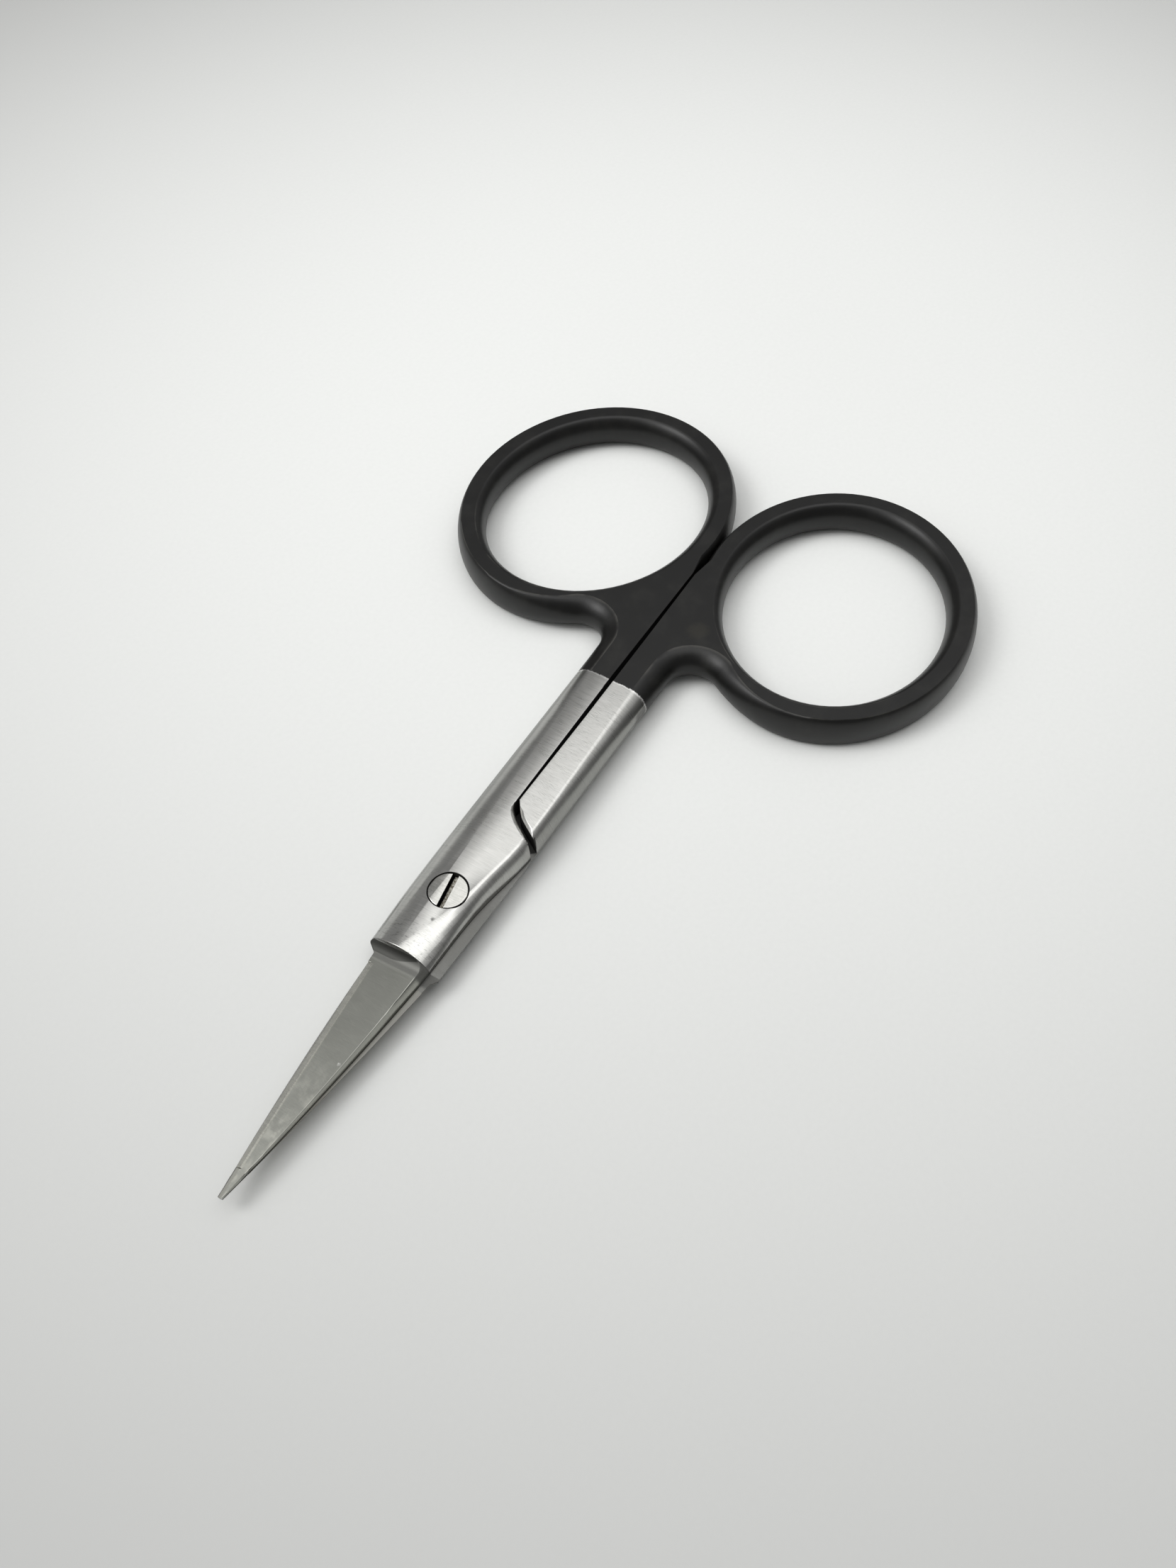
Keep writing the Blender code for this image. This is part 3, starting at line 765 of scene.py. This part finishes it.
@dataclass
class MeshWork:
    """The way a CAD solid's mesh becomes a finished piece: merged, its edges broken, and smoothly shaded."""

    nodes: dict[str, bpy.types.Object]
    merge: float = 0.012 * MM
    sliver: float = 0.0012 * MM
    cut_slack: float = 0.001 * MM
    flat_angle: float = math.radians(0.4)
    seam: float = 0.06 * MM
    edge_angle: float = math.radians(28)
    shade_angle: float = math.radians(35)

    def copy(self, node: str) -> bmesh.types.BMesh:
        """Copies a CAD node's mesh, joins its loose triangles and clears the lines inside flat faces.

        Args:
            node: The CAD node's name.

        Returns:
            A closed mesh with the node's shape.
        """
        work = bmesh.new()
        work.from_mesh(self.nodes[node].data)
        bmesh.ops.remove_doubles(work, verts=work.verts, dist=self.merge)
        bmesh.ops.dissolve_degenerate(work, dist=self.sliver, edges=work.edges)
        bmesh.ops.dissolve_limit(work, angle_limit=self.flat_angle, verts=work.verts, edges=work.edges)
        return work

    def break_edges(
        self,
        work: bmesh.types.BMesh,
        width: float,
        start: float = -math.inf,
        end: float = math.inf,
        beside: Union[str, None] = None,
    ) -> None:
        """Rounds the sharp edges off.

        Args:
            work: The mesh.
            width: How far from the edge the rounding starts.
            start: The x past which edges are rounded.
            end: The x up to which they are.
            beside: A CAD node that the mesh is brazed to, whose seam stays closed.
        """
        seam = None
        if beside:
            other = self.copy(beside)
            seam = BVHTree.FromBMesh(other)
            other.free()
        edges = [
            edge
            for edge in work.edges
            if edge.is_manifold
            and edge.calc_face_angle() > self.edge_angle
            and all(start < vert.co.x < end for vert in edge.verts)
            and not (seam and all(seam.find_nearest(vert.co, self.seam)[0] for vert in edge.verts))
        ]
        bmesh.ops.bevel(
            work,
            geom=edges,
            offset=width,
            offset_type="OFFSET",
            affect="EDGES",
            segments=2,
            profile=0.5,
            material=-1,
            clamp_overlap=False,
        )
        bmesh.ops.dissolve_degenerate(work, dist=self.sliver, edges=work.edges)

    def keep(self, work: bmesh.types.BMesh, x: float, beyond: bool) -> None:
        """Cuts the mesh across at x, keeps one side and closes the cut.

        Args:
            work: The mesh.
            x: Where the cut is.
            beyond: Whether the side past x is the one that stays.
        """
        bmesh.ops.bisect_plane(
            work,
            geom=[*work.verts, *work.edges, *work.faces],
            dist=self.cut_slack,
            plane_co=(x, 0.0, 0.0),
            plane_no=(1.0, 0.0, 0.0),
            clear_inner=beyond,
            clear_outer=not beyond,
        )
        bmesh.ops.holes_fill(work, edges=[edge for edge in work.edges if edge.is_boundary], sides=0)

    def piece(
        self,
        name: str,
        work: bmesh.types.BMesh,
        finish: Finish,
        body: str,
        node: str,
    ) -> None:
        """Makes a piece of a mesh, dresses it and joins it to the frame.

        Args:
            name: The piece's name.
            work: Its mesh, which is used up.
            finish: Its finish.
            body: The CAD body that it rides on.
            node: The CAD node that it stands for.
        """
        mesh = bpy.data.meshes.new(name)
        work.to_mesh(mesh)
        work.free()
        mesh.shade_smooth()
        mesh.set_sharp_from_angle(angle=self.shade_angle)
        mesh.materials.append(finish.material())
        obj = bpy.data.objects.new(name, mesh)
        bpy.context.scene.collection.objects.link(obj)
        weighted = obj.modifiers.new("weighted_normals", "WEIGHTED_NORMAL")
        weighted.keep_sharp = True
        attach(obj, body)
        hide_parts(node)
        log.info("%s: %d faces, on %s, for %s", name, len(mesh.polygons), body, node)


@dataclass
class ForgedHalf:
    """One forging: bare brushed steel from the tip to the coat line, and black coat from there round the loop.

    The fields from square_on on are parts of a face's normal, by which the faces at the tip and on the neck are told
    apart.
    """

    side: Side
    pivot: Point
    coat_line: float
    step: float
    scratches: float
    crevices: tuple[Crevice, ...]
    steel_marks: tuple[Mark, ...]
    coat_marks: tuple[Mark, ...]
    edge_round: float = 0.05 * MM
    tip_length: float = 1.2 * MM
    bevel: float = 0.4 * MM
    neck_length: float = 4.0 * MM
    levelled: float = 90.0
    square_on: float = 0.8
    end_on: float = 0.7
    rim_low: float = 0.3
    rim_high: float = 0.985
    top_from: float = 0.99

    def build(self, shop: MeshWork) -> None:
        """Makes the steel part and the coated part.

        Args:
            shop: The mesh work on the CAD nodes.
        """
        node, body = self.side.half, self.side.value
        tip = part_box(node)[0].x
        steel = shop.copy(node)
        self.carry_bevel(steel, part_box(self.side.insert)[0].x)
        neck = self.coat_line + self.neck_length
        shop.break_edges(steel, self.edge_round, tip + self.tip_length, neck, self.side.insert)
        coated = steel.copy()
        shop.keep(steel, self.coat_line, False)
        shop.keep(coated, self.coat_line, True)
        self.rub_and_light_creases(coated)
        bare = BrushedSteel(
            f"{body}_brushed_steel",
            self.pivot,
            self.coat_line,
            self.step,
            self.steel_marks,
            self.crevices,
            self.scratches,
            self.levelled if self.side is Side.UPPER else 0.0,
        )
        coat = BlackCoat(f"{body}_black_coat", self.coat_marks, self.crevices, self.coat_line)
        shop.piece(f"{body}_blade_and_shank", steel, bare, body, node)
        shop.piece(f"{body}_coated_loop", coated, coat, body, node)

    def rub_and_light_creases(self, work: bmesh.types.BMesh) -> None:
        """Notes the corners of the rounded faces along the rim of the flat top, where the coat wears and gets a
        painted highlight.

        Args:
            work: The coated part's mesh.
        """
        work.normal_update()
        rubbed = work.loops.layers.float.new(RUBBED_AND_LIT)
        for face in work.faces:
            if self.rim_low < face.normal.z < self.rim_high:
                for loop in face.loops:
                    loop[rubbed] = float(any(near.normal.z > self.top_from for near in loop.vert.link_faces))

    def carry_bevel(self, work: bmesh.types.BMesh, end: float) -> None:
        """Carries the hard strip's bevel on along the edge to the tip.

        Args:
            work: The forging's mesh.
            end: Where the strip ends.
        """
        edge = []
        for vert in work.verts:
            ways = [face.normal * self.side.turn for face in vert.link_faces]
            outer, cutting = (any(way[axis] > self.square_on for way in ways) for axis in (2, 1))
            if vert.co.x < end and outer and cutting:
                edge.append(vert)
        bmesh.ops.translate(work, verts=edge, vec=(0.0, -self.side.turn * self.bevel, 0.0))
        work.normal_update()
        bevel = work.faces.layers.float.new(CUTTING_BEVEL)
        for face in {face for vert in edge for face in vert.link_faces}:
            facing = face.normal.y * self.side.turn
            face[bevel] = float(facing > BEVEL_FACING and abs(face.normal.x) < self.end_on)
        log.info("%s: bevel carried over %d points at the tip", self.side.half, len(edge))


@dataclass
class CarbideStrip:
    """The hard strip brazed along one cutting edge."""

    side: Side
    lap: float
    edge_round: float = 0.012 * MM
    braze: float = 0.028 * MM
    seated_on: float = 0.85

    def build(self, shop: MeshWork) -> None:
        """Makes the strip.

        Args:
            shop: The mesh work on the CAD nodes.
        """
        node, body = self.side.insert, self.side.value
        work = shop.copy(node)
        for way in map(Vector, ((0.0, -self.side.turn, 0.0), (-1.0, 0.0, 0.0), (1.0, 0.0, 0.0))):
            seated = [face for face in work.faces if face.normal.dot(way) > self.seated_on]
            verts = list({vert for face in seated for vert in face.verts})
            bmesh.ops.translate(work, verts=verts, vec=way * self.braze)
        shop.break_edges(work, self.edge_round, beside=self.side.half)
        bevel = work.faces.layers.float.new(CUTTING_BEVEL)
        for face in work.faces:
            face[bevel] = float(face.normal.y * self.side.turn > BEVEL_FACING)
        finish = GroundCarbide(f"{body}_carbide", self.lap)
        shop.piece(f"{body}_carbide_strip", work, finish, body, node)


@dataclass
class PivotScrew:
    """The slotted screw that joins the halves, with a cut thread on its lower end."""

    axis_at: Point
    edge_round: float = 0.03 * MM
    thread_radius: float = 1.0 * MM
    thread_depth: float = 0.12 * MM
    thread_pitch: float = 0.25 * MM
    thread_margin: float = 0.08 * MM
    thread_profile: tuple[tuple[float, float], ...] = ((1.3, 0.08), (0.0, 0.45), (0.0, 0.55), (1.3, 0.92))
    core_slack: float = 0.02 * MM
    steps_per_turn: int = 32

    def build(self, shop: MeshWork) -> None:
        """Makes the screw with its thread.

        Args:
            shop: The mesh work on the CAD nodes.
        """
        node = "pivot_screw"
        low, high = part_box(node)
        work = shop.copy(node)
        shop.break_edges(work, self.edge_round)
        core = [
            vert
            for vert in work.verts
            if (vert.co - Vector(self.axis_at)).to_2d().length < self.thread_radius + self.core_slack
            and vert.co.z < self.axis_at[2]
        ]
        shrink = 1 - self.thread_depth / self.thread_radius
        bmesh.ops.scale(
            work, verts=core, vec=(shrink, shrink, 1.0), space=Matrix.Translation(-Vector(self.axis_at))
        )
        self.cut_thread(work, low.z + self.thread_margin, self.axis_at[2] - self.thread_margin)
        finish = GroundScrew("screw_steel", self.axis_at, high.z)
        shop.piece("slotted_screw", work, finish, "screw", node)

    def cut_thread(self, work: bmesh.types.BMesh, bottom: float, top: float) -> None:
        """Winds the thread's ridge round the screw's core.

        Args:
            work: The screw's mesh.
            bottom: Where the thread starts.
            top: Where it ends.
        """
        turns = (top - bottom) / self.thread_pitch - 1
        x, y, _ = self.axis_at
        profile = [
            work.verts.new((x + self.thread_radius - self.thread_depth * cut, y, bottom + self.thread_pitch * rise))
            for cut, rise in self.thread_profile
        ]
        edges = [work.edges.new((profile[i], profile[i - 1])) for i in range(len(profile))]
        steps = round(turns * self.steps_per_turn)
        before = set(work.faces)
        bmesh.ops.spin(
            work,
            geom=[*profile, *edges],
            cent=self.axis_at,
            axis=(0.0, 0.0, 1.0),
            dvec=(0.0, 0.0, self.thread_pitch / self.steps_per_turn),
            angle=math.tau * steps / self.steps_per_turn,
            steps=steps,
        )
        bmesh.ops.holes_fill(work, edges=[edge for edge in work.edges if edge.is_boundary], sides=4)
        bmesh.ops.recalc_face_normals(work, faces=[face for face in work.faces if face not in before])


@dataclass(frozen=True)
class Glow:
    """A round patch of light in the dome, in degrees: full near its middle and gone further out."""

    heading: float
    pitch: float
    full: float
    gone: float
    level: float

    def light(self, graph: Graph, way: Value) -> Value:
        """Gives the patch's light in each direction.

        Args:
            graph: The world's graph.
            way: The direction.

        Returns:
            The light, from 0 to the patch's level.
        """
        middle = towards(math.radians(self.heading), math.radians(self.pitch))
        gone, full = (math.cos(math.radians(angle)) for angle in (self.gone, self.full))
        return self.level * graph.dot(way, tuple(middle)).ramp(gone, full)


@dataclass
class Studio:
    """Pale floor, soft overhead light and the camera."""

    eye: Point = (-66.668 * MM, -44.620 * MM, 110.945 * MM)
    heading: float = math.radians(31.365)
    pitch: float = math.radians(54.351)
    roll: float = math.radians(-0.075)
    lens: float = 31.736
    sensor: float = 36.0
    clip_start: float = 10 * MM
    floor_size: float = 3.0
    floor_drop: float = 0.02 * MM
    room: float = 0.19
    glows: tuple[Glow, ...] = (
        Glow(20, 80, 25, 33, 1.35),
        Glow(-60, 72, 5, 30, 0.4),
        Glow(132, 48, 12, 40, 1.1),
        Glow(-5, 24, 4, 30, 0.3),
        Glow(-50, 47, 4, 24, 0.4),
    )
    box_size: float = 0.2
    box_away: float = 0.5
    box_heading: float = math.radians(125)
    box_pitch: float = math.radians(52)
    box_radiance: float = 6.0

    def build(self) -> None:
        """Sets up the camera, the light and the floor."""
        bpy.context.scene.view_settings.view_transform = "Standard"
        self.set_camera()
        self.light_sky()
        self.hang_softbox()
        self.lay_floor()

    def set_camera(self) -> None:
        """Puts the camera where the photograph was taken from."""
        data = bpy.data.cameras.new("camera")
        data.lens, data.sensor_width, data.clip_start = self.lens, self.sensor, self.clip_start
        camera = bpy.data.objects.new("camera", data)
        bpy.context.scene.collection.objects.link(camera)
        ahead = towards(self.heading, -self.pitch)
        turn = ahead.to_track_quat("-Z", "Y").to_matrix() @ Matrix.Rotation(self.roll, 3, "Z")
        camera.matrix_world = Matrix.Translation(self.eye) @ turn.to_4x4()
        bpy.context.scene.camera = camera

    def light_sky(self) -> None:
        """Makes the world a dim room with soft patches of light in it."""
        world = bpy.data.worlds.new("soft_dome")
        world.use_nodes = True
        bpy.context.scene.world = world
        graph = Graph(world.node_tree)
        way = graph.add("ShaderNodeTexCoord", {}, {}, "Generated")
        level: Number = self.room
        for glow in self.glows:
            level = level + glow.light(graph, way)
        sky = graph.add("ShaderNodeBackground", {}, {"Color": (1.0, 1.0, 1.0), "Strength": level})
        graph.add("ShaderNodeOutputWorld", {}, {"Surface": sky})

    def hang_softbox(self) -> None:
        """Hangs one soft lamp above the scissors, on the upper half's side."""
        data = bpy.data.lights.new("softbox", "AREA")
        data.shape, data.size = "SQUARE", self.box_size
        data.energy = self.box_radiance * math.pi * self.box_size**2
        lamp = bpy.data.objects.new("softbox", data)
        bpy.context.scene.collection.objects.link(lamp)
        out = towards(self.box_heading, self.box_pitch)
        turn = out.to_track_quat("Z", "Y").to_matrix()
        lamp.matrix_world = Matrix.Translation(out * self.box_away) @ turn.to_4x4()

    def lay_floor(self) -> None:
        """Lays the pale floor just under the scissors."""
        work = bmesh.new()
        drop = Matrix.Translation((0.0, 0.0, -self.floor_drop))
        bmesh.ops.create_grid(work, x_segments=1, y_segments=1, size=self.floor_size, matrix=drop)
        mesh = bpy.data.meshes.new("floor")
        work.to_mesh(mesh)
        work.free()
        mesh.materials.append(PaperFloor("pale_floor").material())
        floor = bpy.data.objects.new("floor", mesh)
        bpy.context.scene.collection.objects.link(floor)


def main() -> None:
    """Builds the scissors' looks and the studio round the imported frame."""
    logging.basicConfig(level=logging.INFO, format="%(name)s: %(message)s")
    for obj in list(bpy.data.objects):
        bpy.data.objects.remove(obj)
    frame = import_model()
    hinge = next(joint for joint in frame["joints"] if joint["name"] == "blade_pivot")
    pivot: Point = tuple(hinge["pos_m"])
    coat_line, step = pivot[0] + COAT_FROM_PIVOT, pivot[0] + STEP_FROM_PIVOT

    Studio().build()
    shop = MeshWork(frame["nodes"])
    slit = Crevice(
        start=(pivot[0] + 11.3 * MM, 0.0),
        end=(pivot[0] + 46.0 * MM, 0.0),
        half_width=0.27 * MM,
        top=3.86 * MM,
        taper=14.0 * MM,
    )
    shoulder = Crevice(
        start=(pivot[0] + 12.3 * MM, 1.0 * MM),
        end=(pivot[0] + 7.9 * MM, -3.2 * MM),
        half_width=1.0 * MM,
        top=3.56 * MM,
    )
    dent = Mark((-21.0 * MM, -0.56 * MM, 3.9 * MM), 0.28 * MM, (0.12, 0.12, 0.115), 0.5, 0.8, 0.5)
    # A nick in the blade's edge, painted white as its glint.
    nick_glint = Mark((-36.07 * MM, -1.42 * MM, 2.55 * MM), 0.26 * MM, (1.0, 1.0, 0.97), 0.5, 1.0, 0.6)
    stain = Mark((-20.0 * MM, -4.2 * MM, 1.0 * MM), 5.5 * MM, (0.16, 0.16, 0.15), 0.45, 0.8, 0.7)
    scale = Mark((-23.9 * MM, -5.0 * MM, 1.2 * MM), 1.7 * MM, (0.05, 0.05, 0.047), 0.6, 0.8, 1.0)
    smear = Mark((21.4 * MM, -4.3 * MM, 4.0 * MM), 1.5 * MM, (0.022, 0.020, 0.014), 0.36, 0.6, 0.35)
    for side, scratches, steel_marks, coat_marks in (
        (Side.UPPER, 0.12, (dent, nick_glint), ()),
        (Side.LOWER, 0.6, (stain, scale), (smear,)),
    ):
        half = ForgedHalf(side, pivot, coat_line, step, scratches, (slit, shoulder), steel_marks, coat_marks)
        half.build(shop)
    for side in Side:
        CarbideStrip(side, pivot[2]).build(shop)
    PivotScrew(pivot).build(shop)


if __name__ == "__main__":
    main()
